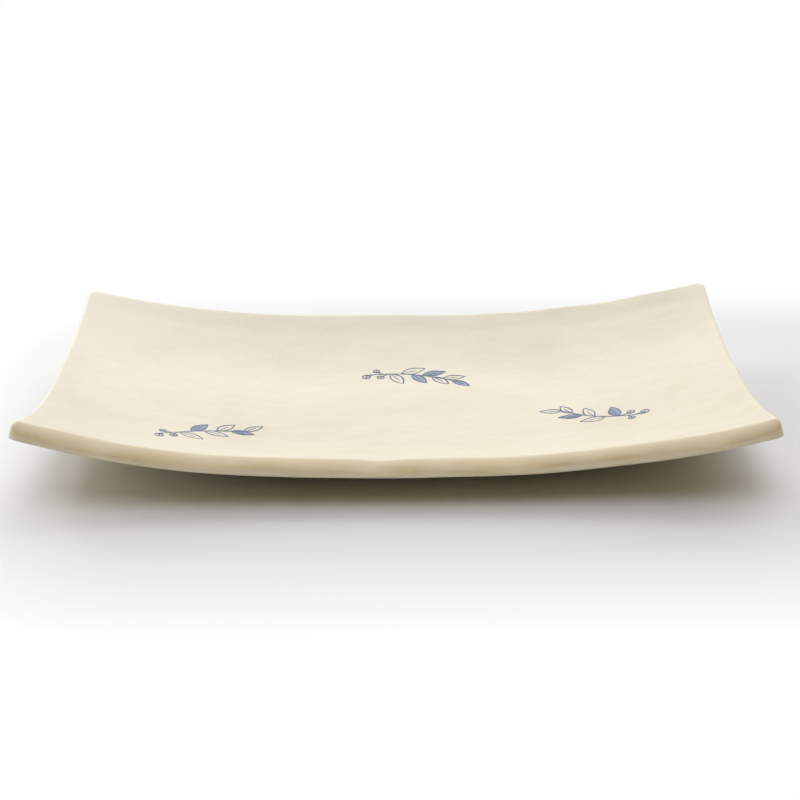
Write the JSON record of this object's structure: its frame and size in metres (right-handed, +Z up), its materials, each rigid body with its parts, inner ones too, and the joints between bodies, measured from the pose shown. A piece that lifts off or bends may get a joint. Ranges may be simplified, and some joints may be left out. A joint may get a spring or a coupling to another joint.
{
  "type": "rectangular plate",
  "caption": "Shallow rectangular stoneware serving plate with lifted ends and corners, soft edges, a cream satin glaze and a flat bare foot.",
  "frame": {"origin": "middle of the flat bare foot on the underside, in the plane that the plate stands on", "axes": "+Z up out of the eating face, +X along the length, front edge of the picture towards -Y"},
  "size_m": [0.2496, 0.1496, 0.031],
  "materials": {
    "bare_stoneware": "matte",
    "cream_face_glaze": "satin",
    "cream_back_glaze": "satin",
    "blue_brushwork": "satin"
  },
  "bodies": {
    "root": {"clay_slab": "bare_stoneware", "face_glaze": "cream_face_glaze", "back_glaze": "cream_back_glaze"}
  },
  "joints": []
}
